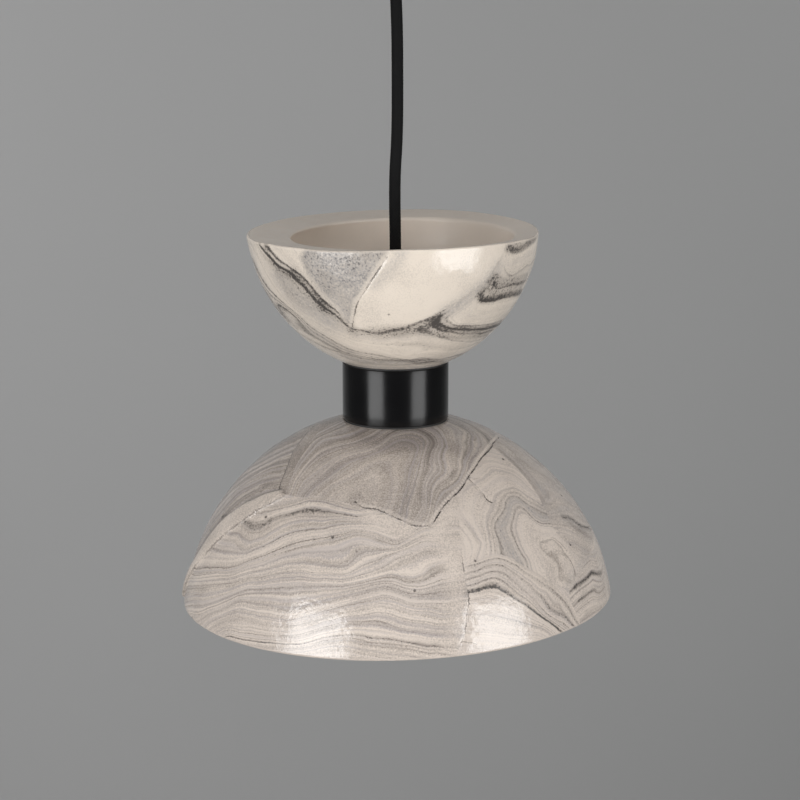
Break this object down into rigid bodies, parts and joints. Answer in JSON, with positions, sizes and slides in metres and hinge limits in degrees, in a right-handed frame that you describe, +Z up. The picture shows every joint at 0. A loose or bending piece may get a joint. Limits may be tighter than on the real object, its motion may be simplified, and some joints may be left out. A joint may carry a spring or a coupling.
{
  "type": "dome pendant light",
  "caption": "Pendant light with a marbled ceramic dome shade, a black collar and an upward ceramic bowl, hung by a braided cord from a ceiling canopy.",
  "frame": {"origin": "on the lamp's axis, in the plane of the ceiling that the bracket lies against", "axes": "+Z up, out of the bracket's mounting face; +X along the bracket and to the right in the picture; the picture looks along +Y"},
  "size_m": [0.245, 0.2449, 0.393],
  "materials": {
    "marbled_ceramic": "glossy glaze over marbled clay",
    "satin_black_metal": "satin black",
    "black_plastic": "moulded, matte",
    "black_textile": "braided textile",
    "zinc_steel": "zinc plated",
    "brass": "bright",
    "nickel": "nickel plated",
    "plated_aluminium": "nickel plated",
    "white_nylon": "moulded",
    "porcelain": "unglazed porcelain",
    "grey_silicone": "soft",
    "grey_felt": "pressed felt",
    "brown_insulation": "smooth",
    "blue_insulation": "smooth",
    "green_yellow_insulation": "smooth, striped",
    "black_glass": "fused",
    "white_plastic": "smooth",
    "opal_plastic": "opal"
  },
  "bodies": {
    "ceiling": {"ceiling_bracket": "zinc_steel", "ceiling_canopy": "satin_black_metal", "canopy_screws": "zinc_steel", "ceiling_cord_grip": "black_plastic", "ceiling_grip_washer": "zinc_steel", "ceiling_grip_nut": "zinc_steel", "ceiling_grip_screw": "zinc_steel", "terminal_block": "white_nylon", "terminal_sleeves": "brass", "terminal_screws": "brass", "block_screw": "zinc_steel", "earth_screw": "brass", "earth_washer": "brass", "ceiling_live_wire": "brown_insulation", "ceiling_neutral_wire": "blue_insulation", "ceiling_earth_wire": "green_yellow_insulation", "cord_tail": "black_textile"},
    "cord_pivot": {"cord_bend": "black_textile"},
    "pendant": {"cord_drop": "black_textile", "bowl_cord_grip": "black_plastic", "bowl_grip_screw": "zinc_steel", "bowl_nut": "zinc_steel", "bowl_washer": "zinc_steel", "bowl_felt": "grey_felt", "upper_bowl": "marbled_ceramic", "bowl_gasket": "grey_silicone", "collar": "satin_black_metal", "collar_gasket": "grey_silicone", "threaded_tube": "zinc_steel", "collar_nut": "zinc_steel", "holder_cap": "satin_black_metal", "holder_skirt": "black_plastic", "holder_insert": "porcelain", "screw_shell": "nickel", "centre_contact": "brass", "holder_screws": "brass", "holder_live_wire": "brown_insulation", "holder_neutral_wire": "blue_insulation", "holder_earth_wire": "green_yellow_insulation", "shade_ring": "black_plastic", "ring_gasket": "grey_silicone", "dome_shade": "marbled_ceramic"},
    "bulb_tip": {"bulb_contact": "nickel"},
    "bulb": {"bulb_insulator": "black_glass", "bulb_cap": "plated_aluminium", "bulb_neck": "white_plastic", "bulb_globe": "opal_plastic"}
  },
  "joints": [
    {"name": "swing_front", "type": "hinge", "parent": "ceiling", "child": "cord_pivot", "pos_m": [0, 0, -0.046], "axis": [1, 0, 0], "range_deg": [-15, 15]},
    {"name": "swing_side", "type": "hinge", "parent": "cord_pivot", "child": "pendant", "pos_m": [0, 0, -0.046], "axis": [0, 1, 0], "range_deg": [-15, 15]},
    {"name": "bulb_travel", "type": "slide", "parent": "pendant", "child": "bulb_tip", "axis": [0, 0, -1], "range_m": [0, 0.0163]},
    {"name": "bulb_turn", "type": "hinge", "parent": "bulb_tip", "child": "bulb", "pos_m": [0, 0, -0.31], "axis": [0, 0, -1], "range_deg": [0, 1622]}
  ],
  "couplings": [
    {"joint": "bulb_turn", "follows": "bulb_travel", "rad_per_m": 1735.7}
  ]
}
